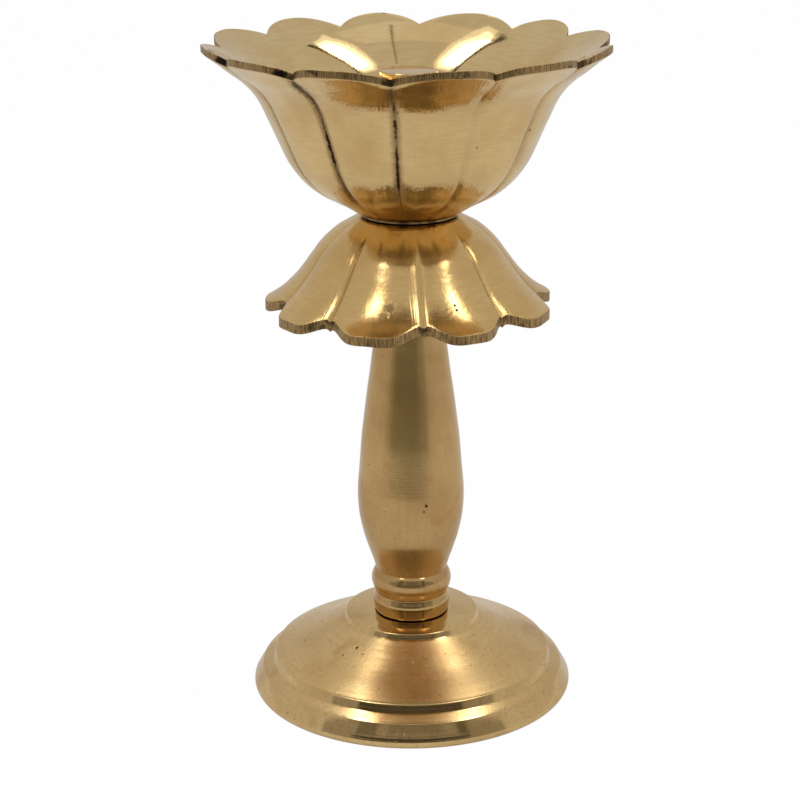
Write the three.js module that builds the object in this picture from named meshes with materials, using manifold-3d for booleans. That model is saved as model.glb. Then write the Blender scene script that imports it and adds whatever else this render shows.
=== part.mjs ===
// Lotus oil lamp in brass: a turned foot, a turned stem, a drooping petal skirt and an open petal
// bowl with a wick post, screwed together on one axis.
// Millimetres, +Z up. The origin is on the floor, on the lamp's axis. The lamp faces -Y.

import * as THREE from 'three';
import { mergeVertices } from 'three/addons/utils/BufferGeometryUtils.js';
import Module from 'manifold-3d';

// Driving dimensions, from the floor upwards.

// Foot: a shallow hollow dome with a stepped edge and a flat pad for the stem.
const FOOT_RADIUS = 36.85;        // widest ring, just above the floor
const FOOT_HEIGHT = 18;           // floor to the top of the pad
const FOOT_WALL = 3;
const FOOT_EDGE_ROUND = 1.5;      // rounding of the outer bottom edge
const FOOT_RING_WIDTH = 2.15;     // flat ring that touches the floor
const FOOT_RING_SLOPE = 1.2;      // how far the inner wall leans in above the floor ring
const BAND_TOP_RADIUS = 34.85;    // upper edge of the outer flaring band
const BAND_HEIGHT = 5.5;
const LEDGE_RADIUS = 32.4;        // foot of the small step wall
const LEDGE_HEIGHT = 7.1;
const STEP_RADIUS = 31.8;         // upper edge of the step, where the dome starts
const STEP_HEIGHT = 8.8;
const PAD_RADIUS = 15.3;
const PAD_STEP = 1.2;             // how far the pad stands above the dome
const PAD_LEAN = 0.3;             // draft of the pad's short side
const BOSS_RADIUS = 10;           // round boss under the pad, for the screw
const BOSS_LENGTH = 8.5;          // pad top to the boss's lower face

// Screw and washer that hold the foot to the stem from below.
const SCREW_RADIUS = 4;
const SCREW_GRIP = 12;            // length of thread in the stem
const SCREW_HEAD_RADIUS = 6.6;
const SCREW_HEAD_HEIGHT = 4;
const SCREW_SLOT_WIDTH = 1.6;
const SCREW_SLOT_DEPTH = 1.8;
const WASHER_RADIUS = 8.4;
const WASHER_THICKNESS = 1.5;

// Stem: two collar rings below a slim pear shape, with a flared seat at the top.
const STEM_LENGTH = 91.2;
const STEM_BELLY_RADIUS = 12.13;
const STEM_SEAT_RADIUS = 9;
const STEM_SEAT_HEIGHT = 4;
const STEM_NECK_RADIUS = 7.5;
const COLLAR_HEIGHT = 10.7;       // stem foot to the crease under the pear shape
const COLLAR_RADIUS = 8.45;
const COLLAR_EDGE = 0.35;
const LOWER_RING_RADIUS = 8.85;
const UPPER_RING_RADIUS = 9.17;
const RING_GROOVE_RADIUS = 8.35;
const CREASE_RADIUS = 8.1;

// Skirt: petals that hang down and out from a flat crown.
const SKIRT_PETALS = 9;
const SKIRT_TURN = -4;            // direction of one notch, in degrees from +X
const SKIRT_TIP_RADIUS = 32.2;
const SKIRT_NOTCH_RADIUS = 28.2;
const SKIRT_DROP = 18.95;         // crown top down to the upper edge of the tips
const SKIRT_CROWN_RADIUS = 11.2;
const SKIRT_CROWN_THICKNESS = 2.4;
const SKIRT_WALL = 1.7;
const SKIRT_EDGE = 2.1;           // height of the sawn edge
const SKIRT_VALLEY = 1.05;        // depth of the valleys between the petals

// Bowl: petals that open upwards, smooth inside, with sharp valleys outside.
const BOWL_PETALS = 12;
const BOWL_TURN = -3.7;           // direction of one notch, in degrees from +X
const BOWL_TIP_RADIUS = 44.3;
const BOWL_NOTCH_DEPTH = 4.1;     // how far the deepest notches are cut in from the tips
const BOWL_HEIGHT = 38.4;
const BOWL_FOOT_RADIUS = 10.75;
const BOWL_FOOT_HEIGHT = 0.6;
const BOWL_FOOT_BEVEL = 0.35;
const BOWL_FLOOR = 3.4;           // floor thickness, foot included
const BOWL_FLOOR_RADIUS = 9;      // flat part of the floor
const BOWL_WALL = 2.1;
const BOWL_EDGE = 1.5;            // height of the sawn edge
const BOWL_VALLEY = 1.3;          // height that the valleys stand above the petals' middles

// Wick post, its fibre seal, and the stud that ties it to the stem.
const STUD_RADIUS = 4;
const STUD_IN_STEM = 11;
const STUD_IN_POST = 10;
const POST_HEIGHT = 27.4;
const POST_HEAD_RADIUS = 6.2;
const POST_NECK_RADIUS = 5.1;
const POST_FLANGE_RADIUS = 8;
const POST_FLANGE_HEIGHT = 2.4;
const POST_HEAD_HEIGHT = 2.2;
const POST_CHAMFER = 0.35;
const SEAL_THICKNESS = 1;

// Clearances.
const THREAD_GAP = 0.3;           // round each thread
const HOLE_GAP = 0.45;            // round each plain clearance hole
const HOLE_BOTTOM_GAP = 2;        // past the end of each thread
const STUD_CHAMFER = 0.6;
const CUT_OVERRUN = 1;            // how far cutting shapes reach past what they cut

// Heights that follow from the sizes above.
const stemFoot = FOOT_HEIGHT;
const stemTop = stemFoot + STEM_LENGTH;
const crownTop = stemTop + SKIRT_CROWN_THICKNESS;
const bowlFloor = crownTop + BOWL_FLOOR;
const postFoot = bowlFloor + SEAL_THICKNESS;
const bossFace = FOOT_HEIGHT - BOSS_LENGTH;
const washerFace = bossFace - WASHER_THICKNESS;

// Holes that the screw and the stud pass through, or are screwed into.
const screwHole = SCREW_RADIUS + HOLE_GAP;
const screwThread = SCREW_RADIUS + THREAD_GAP;
const studHole = STUD_RADIUS + HOLE_GAP;
const studThread = STUD_RADIUS + THREAD_GAP;

// Counts of facets round a piece, and of steps along a curve.
const FOOT_TURNS = 48;
const STEM_TURNS = 32;
const SMALL_TURNS = 24;
const FACETS_PER_PETAL = 8;
const RING_STEPS = 5;
const DOME_STEPS = 8;
const PEAR_STEPS = 20;
const CREST_STEPS = 50;

const at = (radius, height) => new THREE.Vector2(radius, height);

// Points of a smooth curve through a few hand-placed ones.
function smooth(points, steps) {
  return new THREE.SplineCurve(points).getPoints(steps);
}

// A turned piece. Its outline runs anticlockwise, radius to the right and height up. It starts
// and ends on the axis, or at one point where the piece has a bore.
function turned(outline, turns) {
  const lathe = new THREE.LatheGeometry(outline, turns);
  lathe.rotateX(Math.PI / 2);
  return merged(lathe);
}

function turnedRing(outline, turns) {
  return turned([...outline, outline[0]], turns);
}

function merged(geometry) {
  geometry.deleteAttribute('normal');
  geometry.deleteAttribute('uv');
  return mergeVertices(geometry);
}

// A round piece with petals. Its closed outline depends on the distance from a petal's middle
// line, which is 0 on that line and 1 in the notch between two petals, and on the nearest notch.
function petalled(outlineAt, petals, notchDegrees) {
  const turns = petals * FACETS_PER_PETAL;
  const notch = THREE.MathUtils.degToRad(notchDegrees);
  const positions = [];
  const faces = [];
  for (let turn = 0; turn < turns; turn += 1) {
    const angle = notch + (turn / turns) * 2 * Math.PI;
    const next = (turn + 1) % turns;
    const share = Math.abs(1 - (2 * (turn % FACETS_PER_PETAL)) / FACETS_PER_PETAL);
    const outline = outlineAt(share, Math.round(turn / FACETS_PER_PETAL) % petals);
    const steps = outline.length;
    outline.forEach((point, step) => {
      positions.push(point.x * Math.cos(angle), point.x * Math.sin(angle), point.y);
      const above = (step + 1) % steps;
      const [a, b] = [turn * steps + step, next * steps + step];
      const [c, d] = [next * steps + above, turn * steps + above];
      faces.push(a, b, c, a, c, d);
    });
  }
  const geometry = new THREE.BufferGeometry();
  geometry.setAttribute('position', new THREE.Float32BufferAttribute(positions, 3));
  geometry.setIndex(faces);
  return geometry;
}

// Height of a curve at a radius, from its points in order of growing radius.
function heightAt(curve, radius) {
  const last = curve.length - 2;
  const found = curve.findIndex((point) => point.x >= radius);
  const low = THREE.MathUtils.clamp(found - 1, 0, last);
  const start = curve[found < 0 ? last : low];
  const end = curve[found < 0 ? last + 1 : low + 1];
  const share = (radius - start.x) / (end.x - start.x);
  return start.y + share * (end.y - start.y);
}

// Each point of a rising curve, moved square to the curve.
function offset(points, distance) {
  return points.map((point, index) => {
    const before = points[Math.max(index - 1, 0)];
    const after = points[Math.min(index + 1, points.length - 1)];
    const along = after.clone().sub(before).normalize();
    return at(point.x - along.y * distance, point.y + along.x * distance);
  });
}

// Foot

const DOME_SHARES = [[0.15, 0.172], [0.49, 0.528], [0.82, 0.838]];

function foot() {
  const domeTop = at(PAD_RADIUS + PAD_LEAN, FOOT_HEIGHT - PAD_STEP);
  const domeEdge = at(STEP_RADIUS, STEP_HEIGHT);
  const domePoints = DOME_SHARES.map(([out, down]) => at(
    THREE.MathUtils.lerp(domeTop.x, domeEdge.x, out),
    THREE.MathUtils.lerp(domeTop.y, domeEdge.y, down)));
  const dome = smooth([domeTop, ...domePoints, domeEdge], DOME_STEPS);
  const slope = Math.atan2(domeTop.y - domeEdge.y, domeEdge.x - domeTop.x);
  const wallDrop = FOOT_WALL / Math.cos(slope);

  const ringOuter = FOOT_RADIUS - FOOT_EDGE_ROUND;
  const ringInner = ringOuter - FOOT_RING_WIDTH;
  const rounded = [0, 30, 60, 90].map((degrees) => {
    const turn = THREE.MathUtils.degToRad(degrees);
    return at(
      ringOuter + FOOT_EDGE_ROUND * Math.sin(turn),
      FOOT_EDGE_ROUND * (1 - Math.cos(turn)));
  });
  const hollow = [
    at(BOSS_RADIUS, heightAt(dome, PAD_RADIUS) - wallDrop),
    ...dome.filter((point, index) => index > 0 && point.x < STEP_RADIUS - FOOT_WALL)
      .map((point) => at(point.x, point.y - wallDrop)),
    at(ringInner - FOOT_RING_SLOPE, FOOT_WALL),
    at(ringInner, 0),
  ];
  return turnedRing([
    at(screwHole, FOOT_HEIGHT),
    at(screwHole, bossFace),
    at(BOSS_RADIUS, bossFace),
    ...hollow,
    ...rounded,
    at(BAND_TOP_RADIUS, BAND_HEIGHT),
    at(LEDGE_RADIUS, LEDGE_HEIGHT),
    ...dome.reverse(),
    at(PAD_RADIUS, FOOT_HEIGHT),
  ], FOOT_TURNS);
}

function washer(innerRadius, outerRadius, lowFace, thickness) {
  return turnedRing([
    at(innerRadius, lowFace),
    at(outerRadius, lowFace),
    at(outerRadius, lowFace + thickness),
    at(innerRadius, lowFace + thickness),
  ], SMALL_TURNS);
}

// Cheese-head screw, head down, with its slot cut across the head.
async function screw() {
  const headFace = washerFace - SCREW_HEAD_HEIGHT;
  const end = stemFoot + SCREW_GRIP;
  const body = turned([
    at(0, headFace),
    at(SCREW_HEAD_RADIUS - STUD_CHAMFER, headFace),
    at(SCREW_HEAD_RADIUS, headFace + STUD_CHAMFER),
    at(SCREW_HEAD_RADIUS, washerFace),
    at(SCREW_RADIUS, washerFace),
    at(SCREW_RADIUS, end - STUD_CHAMFER),
    at(SCREW_RADIUS - STUD_CHAMFER, end),
    at(0, end),
  ], SMALL_TURNS);
  const slot = new THREE.BoxGeometry(
    2 * (SCREW_HEAD_RADIUS + CUT_OVERRUN), SCREW_SLOT_WIDTH, SCREW_SLOT_DEPTH + CUT_OVERRUN);
  slot.translate(0, 0, headFace + (SCREW_SLOT_DEPTH - CUT_OVERRUN) / 2);
  return cut(body, merged(slot));
}

async function cut(body, tool) {
  const wasm = await Module();
  wasm.setup();
  const [solid, cutter] = [body, tool].map((geometry) => new wasm.Manifold(new wasm.Mesh({
    numProp: 3,
    vertProperties: new Float32Array(geometry.attributes.position.array),
    triVerts: new Uint32Array(geometry.index.array),
  })));
  const mesh = solid.subtract(cutter).getMesh();
  const geometry = new THREE.BufferGeometry();
  geometry.setAttribute('position', new THREE.BufferAttribute(mesh.vertProperties, 3));
  geometry.setIndex(new THREE.BufferAttribute(mesh.triVerts, 1));
  return geometry;
}

// Stem

// Pear shape from the crease up to the neck: shares of the belly's radius, and of the height
// between the crease and the seat.
const PEAR_SHARES = [
  [0.757, 0.045], [0.883, 0.107], [0.967, 0.169], [1, 0.237],
  [0.978, 0.305], [0.918, 0.388], [0.822, 0.515], [0.713, 0.638], [0.64, 0.77],
];
const LOWER_RING_SHARE = 0.32;    // heights of the rings and their groove on the collar
const GROOVE_SHARE = 0.46;
const UPPER_RING_SHARE = 0.73;

function stem() {
  const seat = stemTop - STEM_SEAT_HEIGHT;
  const crease = stemFoot + COLLAR_HEIGHT;
  const collarAt = (radius, share) => at(radius, stemFoot + share * COLLAR_HEIGHT);
  const lowerRing = smooth([
    at(COLLAR_RADIUS, stemFoot + COLLAR_EDGE),
    collarAt(LOWER_RING_RADIUS, LOWER_RING_SHARE),
    collarAt(RING_GROOVE_RADIUS, GROOVE_SHARE),
  ], RING_STEPS);
  const upperRing = smooth([
    collarAt(RING_GROOVE_RADIUS, GROOVE_SHARE),
    collarAt(UPPER_RING_RADIUS, UPPER_RING_SHARE),
    at(CREASE_RADIUS, crease),
  ], RING_STEPS);
  const pear = smooth([
    at(CREASE_RADIUS, crease),
    ...PEAR_SHARES.map(([out, up]) => at(
      out * STEM_BELLY_RADIUS, THREE.MathUtils.lerp(crease, seat, up))),
    at(STEM_NECK_RADIUS, seat - STEM_SEAT_HEIGHT),
  ], PEAR_STEPS);
  const screwHoleEnd = stemFoot + SCREW_GRIP + HOLE_BOTTOM_GAP;
  const studHoleEnd = stemTop - STUD_IN_STEM - HOLE_BOTTOM_GAP;
  return turned([
    at(0, screwHoleEnd),
    at(screwThread, screwHoleEnd),
    at(screwThread, stemFoot),
    at(COLLAR_RADIUS - COLLAR_EDGE, stemFoot),
    ...lowerRing,
    ...upperRing.slice(1),
    ...pear.slice(1),
    at(STEM_SEAT_RADIUS, seat),
    at(STEM_SEAT_RADIUS, stemTop),
    at(studThread, stemTop),
    at(studThread, studHoleEnd),
    at(0, studHoleEnd),
  ], STEM_TURNS);
}

// Skirt

// Upper surface along a petal's middle, from the crown to the tip: shares of the way out and down.
const SKIRT_SHARES = [
  [0.105, 0.062], [0.238, 0.14], [0.39, 0.3], [0.5, 0.458],
  [0.601, 0.616], [0.681, 0.722], [0.771, 0.827], [0.857, 0.905], [0.955, 0.98],
];
const SKIRT_NOTCH_SHARPNESS = 2.6;
const SKIRT_STEP_SHARES = [0, 0.08, 0.22, 0.38, 0.54, 0.7, 0.85, 1];

function skirt() {
  const crown = at(SKIRT_CROWN_RADIUS, crownTop);
  const tip = at(SKIRT_TIP_RADIUS, crownTop - SKIRT_DROP);
  const crest = smooth([
    crown,
    ...SKIRT_SHARES.map(([out, down]) => at(
      THREE.MathUtils.lerp(crown.x, tip.x, out), THREE.MathUtils.lerp(crown.y, tip.y, down))),
    tip,
  ], CREST_STEPS);
  const underside = offset(crest, -SKIRT_WALL);
  const underCrown = at(STEM_SEAT_RADIUS + HOLE_GAP, stemTop);

  return petalled((share) => {
    const notch = ((1 - Math.cos(Math.PI * share)) / 2) ** SKIRT_NOTCH_SHARPNESS;
    const rim = THREE.MathUtils.lerp(SKIRT_TIP_RADIUS, SKIRT_NOTCH_RADIUS, notch);
    const sunk = (radius) => notch * SKIRT_VALLEY * THREE.MathUtils.smoothstep(
      radius, SKIRT_CROWN_RADIUS, (SKIRT_CROWN_RADIUS + SKIRT_NOTCH_RADIUS) / 2);
    const above = SKIRT_STEP_SHARES.map((step) => {
      const radius = THREE.MathUtils.lerp(SKIRT_CROWN_RADIUS, rim, step);
      return at(radius, heightAt(crest, radius) - sunk(radius));
    });
    const edge = above[above.length - 1];
    const below = SKIRT_STEP_SHARES.slice(1, -1).map((step) => {
      const radius = THREE.MathUtils.lerp(underCrown.x, rim, step);
      return at(radius, Math.min(heightAt(underside, radius), underCrown.y) - sunk(radius));
    });
    return [
      at(studHole, crownTop),
      at(studHole, stemTop),
      underCrown,
      ...below,
      at(edge.x, edge.y - SKIRT_EDGE),
      ...above.reverse(),
    ];
  }, SKIRT_PETALS, SKIRT_TURN);
}

// Bowl

// Outer surface along a petal's middle: shares of the tip radius and of the height.
const BOWL_SHARES = [
  [0.327, 0.076], [0.435, 0.141], [0.519, 0.219], [0.589, 0.323], [0.632, 0.427],
  [0.661, 0.505], [0.692, 0.583], [0.727, 0.672], [0.767, 0.742], [0.824, 0.807],
  [0.885, 0.859], [0.939, 0.904],
];
const BOWL_LOBE_SHARPNESS = 2.2;
// Depth of each sawn notch, as a share of the deepest: the front ones are shallow.
const BOWL_NOTCH_SHARES = [0.9, 1, 1, 1, 1, 1, 0.9, 0.8, 0.75, 0.4, 0.55, 0.75];
const BOWL_STEP_SHARES = [0, 0.1, 0.22, 0.34, 0.44, 0.52, 0.6, 0.7, 0.8, 0.9, 1];
const BOWL_INNER_STEP_SHARES = [0.16, 0.32, 0.46, 0.58, 0.68, 0.8, 0.9, 1];

function bowl() {
  const footEdge = at(BOWL_FOOT_RADIUS, crownTop + BOWL_FOOT_HEIGHT);
  const tip = at(BOWL_TIP_RADIUS, crownTop + BOWL_HEIGHT - BOWL_EDGE);
  const outerPoints = BOWL_SHARES.map(([out, up]) => at(
    out * BOWL_TIP_RADIUS, crownTop + up * BOWL_HEIGHT));
  const crest = smooth([footEdge, ...outerPoints, tip], CREST_STEPS);
  const lining = smooth([
    at(BOWL_FLOOR_RADIUS, bowlFloor),
    ...offset(outerPoints, BOWL_WALL),
    at(BOWL_TIP_RADIUS, crownTop + BOWL_HEIGHT),
  ], CREST_STEPS);

  return petalled((share, notch) => {
    const lobe = share ** BOWL_LOBE_SHARPNESS;
    const rim = BOWL_TIP_RADIUS - lobe * BOWL_NOTCH_SHARES[notch] * BOWL_NOTCH_DEPTH;
    const raised = (radius) => lobe * BOWL_VALLEY * THREE.MathUtils.smoothstep(
      radius, BOWL_FOOT_RADIUS, BOWL_TIP_RADIUS / 2);
    const outside = BOWL_STEP_SHARES.slice(0, -1).map((step) => {
      const radius = THREE.MathUtils.lerp(BOWL_FOOT_RADIUS, rim, step);
      return at(radius, heightAt(crest, radius) + raised(radius));
    });
    const inside = BOWL_INNER_STEP_SHARES.map((step) => {
      const radius = THREE.MathUtils.lerp(BOWL_FLOOR_RADIUS, rim, step);
      return at(radius, heightAt(lining, radius));
    });
    const edge = inside[inside.length - 1];
    return [
      at(studHole, bowlFloor),
      at(studHole, crownTop),
      at(BOWL_FOOT_RADIUS - BOWL_FOOT_BEVEL, crownTop),
      ...outside,
      at(edge.x, edge.y - BOWL_EDGE),
      ...inside.reverse(),
      at(BOWL_FLOOR_RADIUS, bowlFloor),
    ];
  }, BOWL_PETALS, BOWL_TURN);
}

// Wick post: flange below, slim waist, flat round head.

const POST_SHOULDER_SHARE = 0.5;  // end of the wide lower part, of the post's height
const POST_WAIST_SHARE = 0.68;

function wickPost() {
  const top = postFoot + POST_HEIGHT;
  const flangeTop = postFoot + POST_FLANGE_HEIGHT;
  const shoulder = postFoot + POST_SHOULDER_SHARE * POST_HEIGHT;
  const headFoot = top - POST_HEAD_HEIGHT;
  const waist = smooth([
    at(POST_HEAD_RADIUS, shoulder),
    at(POST_NECK_RADIUS, postFoot + POST_WAIST_SHARE * POST_HEIGHT),
    at(POST_HEAD_RADIUS, headFoot),
  ], RING_STEPS);
  const holeEnd = postFoot + STUD_IN_POST;
  return turned([
    at(0, holeEnd),
    at(studThread, holeEnd),
    at(studThread, postFoot),
    at(POST_FLANGE_RADIUS - POST_CHAMFER, postFoot),
    at(POST_FLANGE_RADIUS, postFoot + POST_CHAMFER),
    at(POST_FLANGE_RADIUS, flangeTop - POST_CHAMFER),
    at(POST_FLANGE_RADIUS - POST_CHAMFER, flangeTop),
    at(POST_HEAD_RADIUS, flangeTop),
    ...waist,
    at(POST_HEAD_RADIUS, top - POST_CHAMFER),
    at(POST_HEAD_RADIUS - POST_CHAMFER, top),
    at(0, top),
  ], SMALL_TURNS);
}

function tieStud() {
  const low = stemTop - STUD_IN_STEM;
  const high = postFoot + STUD_IN_POST;
  return turned([
    at(0, low),
    at(STUD_RADIUS - STUD_CHAMFER, low),
    at(STUD_RADIUS, low + STUD_CHAMFER),
    at(STUD_RADIUS, high - STUD_CHAMFER),
    at(STUD_RADIUS - STUD_CHAMFER, high),
    at(0, high),
  ], SMALL_TURNS);
}

const castBrass = { color: 0xb59a5f, metalness: 1, roughness: 0.3 };
const turnedBrass = { color: 0xb08d4c, metalness: 1, roughness: 0.35 };
const polishedBrass = { color: 0xc4a45f, metalness: 1, roughness: 0.18 };
const steel = { color: 0x8d8f90, metalness: 1, roughness: 0.4 };
const fibre = { color: 0x6e3b26, metalness: 0, roughness: 0.8 };

const pieces = [
  ['foot', foot(), turnedBrass],
  ['foot_washer', washer(screwHole, WASHER_RADIUS, washerFace, WASHER_THICKNESS), steel],
  ['foot_screw', await screw(), steel],
  ['stem', stem(), turnedBrass],
  ['petal_skirt', skirt(), polishedBrass],
  ['bowl', bowl(), castBrass],
  ['oil_seal', washer(studHole, POST_FLANGE_RADIUS, bowlFloor, SEAL_THICKNESS), fibre],
  ['wick_post', wickPost(), polishedBrass],
  ['tie_stud', tieStud(), steel],
];

const lamp = new THREE.Group();
for (const [name, geometry, finish] of pieces) {
  const mesh = new THREE.Mesh(geometry, new THREE.MeshStandardMaterial(finish));
  mesh.name = name;
  lamp.add(mesh);
}

export default lamp;
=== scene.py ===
# %% [markdown]
# A lotus oil lamp in brass. On the bench it is a short stack: a turned foot, a turned stem, a cast
# skirt of drooping petals, and a cast bowl of open petals with a wick post. The frame holds these
# pieces at their real size, with flat facets. This lesson gives each visible piece a fine surface
# in the same place, and then the finish that turning, casting, sawing and buffing leave on brass.

# %% The frame
import math

import bmesh
import bpy
from mathutils import Matrix, Vector, geometry, noise


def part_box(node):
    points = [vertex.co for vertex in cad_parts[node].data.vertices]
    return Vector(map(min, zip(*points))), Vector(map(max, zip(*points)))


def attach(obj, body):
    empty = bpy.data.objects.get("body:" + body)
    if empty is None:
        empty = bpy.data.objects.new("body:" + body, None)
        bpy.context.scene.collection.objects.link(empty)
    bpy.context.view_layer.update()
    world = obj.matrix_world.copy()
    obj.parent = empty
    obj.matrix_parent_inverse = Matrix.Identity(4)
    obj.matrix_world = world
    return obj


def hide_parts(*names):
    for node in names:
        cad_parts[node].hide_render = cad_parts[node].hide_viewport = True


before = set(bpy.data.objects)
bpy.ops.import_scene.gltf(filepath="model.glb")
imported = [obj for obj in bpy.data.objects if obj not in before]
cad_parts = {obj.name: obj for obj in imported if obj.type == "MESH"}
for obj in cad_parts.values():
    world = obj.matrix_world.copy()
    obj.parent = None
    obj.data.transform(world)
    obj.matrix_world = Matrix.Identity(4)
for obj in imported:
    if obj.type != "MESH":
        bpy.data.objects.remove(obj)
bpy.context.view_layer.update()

MM = 0.001
print("nodes in the frame:", sorted(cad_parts))

# %% [markdown]
# The camera comes first. It stands 444 mm in front of the lamp's axis and 213 mm up, looks down by
# 18 degrees through a long lens, and leans a little, as a hand-set tripod does.

# %% Camera
CAMERA_PLACE = Vector((0, -444, 213)) * MM
CAMERA_PITCH = math.radians(17.98)
CAMERA_AIM = math.radians(0.3)
CAMERA_ROLL = math.radians(-0.42)
CAMERA_LENS = 93.06


def turn(angle, axis):
    return Matrix.Rotation(angle, 4, axis)


lens = bpy.data.cameras.new("camera")
lens.lens = CAMERA_LENS
lens.clip_start, lens.clip_end = 0.01, 20
camera = bpy.data.objects.new("camera", lens)
upright = turn(CAMERA_AIM, "Z") @ turn(math.radians(90) - CAMERA_PITCH, "X")
camera.matrix_world = Matrix.Translation(CAMERA_PLACE) @ upright @ turn(CAMERA_ROLL, "Z")
bpy.context.collection.objects.link(camera)
bpy.context.scene.camera = camera
print("camera lens in mm:", round(lens.lens, 2))

# %% [markdown]
# A turned piece is half of its section, spun round the axis. The section needs only a few points
# that a turner would measure. A Bezier span between each pair, with handles that follow the
# neighbours, makes the curve flow. Points stay sharp where a line is joined to the next by hand.


# %% Sections and spinning
WELD = 0.001 * MM
SHARP_EDGE = math.radians(35)
CLEAR_HOLE = 4.45
THREAD_HOLE = 4.3


def at(radius, height):
    """A point of a section, from millimetres."""
    return Vector((radius, height)) * MM


def flowing(points, per_span):
    """A smooth line through given points."""
    ends = [2 * points[0] - points[1], *points, 2 * points[-1] - points[-2]]
    line = []
    for before, start, end, after in zip(ends, ends[1:], ends[2:], ends[3:]):
        span = geometry.interpolate_bezier(
            start, start + (end - before) / 6, end - (after - start) / 6, end, per_span + 1)
        line += [point.to_2d() for point in span[:-1]]
    return line + [points[-1]]


def arc(centre, radius, first, last, steps):
    """Points on a round corner, with angles in degrees from straight outwards."""
    line = []
    for step in range(steps + 1):
        angle = math.radians(first + (last - first) * step / steps)
        line.append(centre + radius * Vector((math.cos(angle), math.sin(angle))))
    return line


def placed(name, bm, materials):
    """Turns a bmesh into an object of the scene, with its materials in order."""
    mesh = bpy.data.meshes.new(name)
    bm.to_mesh(mesh)
    bm.free()
    for material in materials:
        mesh.materials.append(material)
    piece = bpy.data.objects.new(name, mesh)
    bpy.context.collection.objects.link(piece)
    return piece


def finished(name, bm, materials):
    """Closes the mesh, points its faces outwards and hands over a smooth-shaded object."""
    bmesh.ops.remove_doubles(bm, verts=bm.verts, dist=WELD)
    bmesh.ops.recalc_face_normals(bm, faces=bm.faces)
    piece = placed(name, bm, materials)
    piece.data.shade_smooth()
    piece.data.set_sharp_from_angle(angle=SHARP_EDGE)
    print(name, "has", len(piece.data.polygons), "faces")
    return piece


def spun(name, section, steps, material):
    """A turned piece. Its section is open on the axis, or comes back to its first point."""
    bm = bmesh.new()
    verts = [bm.verts.new((0, -point.x, point.y)) for point in section]
    edges = [bm.edges.new(pair) for pair in zip(verts, verts[1:])]
    bmesh.ops.spin(
        bm, geom=verts + edges, axis=(0, 0, 1), cent=(0, 0, 0), angle=math.tau, steps=steps,
        use_merge=True)
    return finished(name, bm, [material])


# %% [markdown]
# Colours are written as the hex values of a paint chart and turned to linear light once. One
# helper adds any node, so that a finish reads from top to bottom like a recipe.


# %% Colours and nodes
def linear(hex_colour):
    """Linear red, green, blue and alpha from an sRGB hex value."""
    channels = [int(hex_colour[i:i + 2], 16) / 255 for i in (1, 3, 5)]
    return (*[c / 12.92 if c <= 0.04045 else ((c + 0.055) / 1.055) ** 2.4 for c in channels], 1)


def add_node(tree, kind, inputs=None, **settings):
    """Adds a node. Inputs are values, or output sockets of other nodes."""
    node = tree.nodes.new(kind)
    for setting, value in settings.items():
        setattr(node, setting, value)
    for socket, value in (inputs or {}).items():
        if isinstance(value, bpy.types.NodeSocket):
            tree.links.new(value, node.inputs[socket])
        else:
            node.inputs[socket].default_value = value
    return node


def blank_material(name):
    """A material with an empty node tree."""
    material = bpy.data.materials.new(name)
    material.use_nodes = True
    material.node_tree.nodes.clear()
    return material, material.node_tree


def new_material(name, metallic=0.0):
    """A material with only its output and its shader."""
    material, tree = blank_material(name)
    shader = add_node(tree, "ShaderNodeBsdfPrincipled")
    shader.inputs["Metallic"].default_value = metallic
    add_node(tree, "ShaderNodeOutputMaterial", {"Surface": shader.outputs[0]})
    return material, tree, shader


def ramp(tree, value, stops):
    """A colour ramp from (position, hex colour) stops."""
    node = add_node(tree, "ShaderNodeValToRGB", {"Fac": value})
    elements = node.color_ramp.elements
    while len(elements) < len(stops):
        elements.new(0.5)
    for element, (position, hex_colour) in zip(elements, stops):
        element.position = position
        element.color = linear(hex_colour)
    return node.outputs["Color"]


def blend(tree, share, first, second):
    """Mixes two colours by a share."""
    node = add_node(tree, "ShaderNodeMix", data_type="RGBA")
    tree.links.new(share, node.inputs[0])
    for socket, value in ((6, first), (7, second)):
        if isinstance(value, bpy.types.NodeSocket):
            tree.links.new(value, node.inputs[socket])
        else:
            node.inputs[socket].default_value = linear(value)
    return node.outputs[2]


def maths(tree, operation, *values):
    """One step of arithmetic on values or sockets."""
    inputs = dict(enumerate(values))
    return add_node(tree, "ShaderNodeMath", inputs, operation=operation).outputs[0]


def between(tree, value, low, high, new_low=0.0, new_high=1.0):
    """Maps a value from one range to another, clamped and eased."""
    inputs = {0: value, 1: low, 2: high, 3: new_low, 4: new_high}
    node = add_node(tree, "ShaderNodeMapRange", inputs, interpolation_type="SMOOTHSTEP")
    return node.outputs[0]


def grain(tree, place, size_mm, detail=3, stretch=(1, 1, 1)):
    """A noise whose grains have a real size in millimetres, drawn out along an axis."""
    scaled = add_node(tree, "ShaderNodeMapping", {"Vector": place, "Scale": stretch})
    inputs = {"Vector": scaled.outputs[0], "Scale": 1 / (size_mm * MM), "Detail": detail}
    return add_node(tree, "ShaderNodeTexNoise", inputs).outputs["Fac"]


def object_place(tree):
    return add_node(tree, "ShaderNodeTexCoord").outputs["Object"]


def bumped(tree, shader, layers):
    """Bump layers, each a (height, depth in mm) pair, one on top of the other."""
    normal = None
    for height, depth_mm in layers:
        inputs = {"Height": height, "Distance": depth_mm * MM, "Strength": 1.0}
        if normal is not None:
            inputs["Normal"] = normal
        normal = add_node(tree, "ShaderNodeBump", inputs).outputs[0]
    tree.links.new(normal, shader.inputs["Normal"])


# %% [markdown]
# Turned brass: the foot and the stem come off a lathe and get a short rub with a mop. The tool
# leaves rings a tenth of a millimetre apart, too fine to show from a step away, so they are drawn
# a little coarser. Radius and height place the rings, so that they run round the piece.

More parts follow.
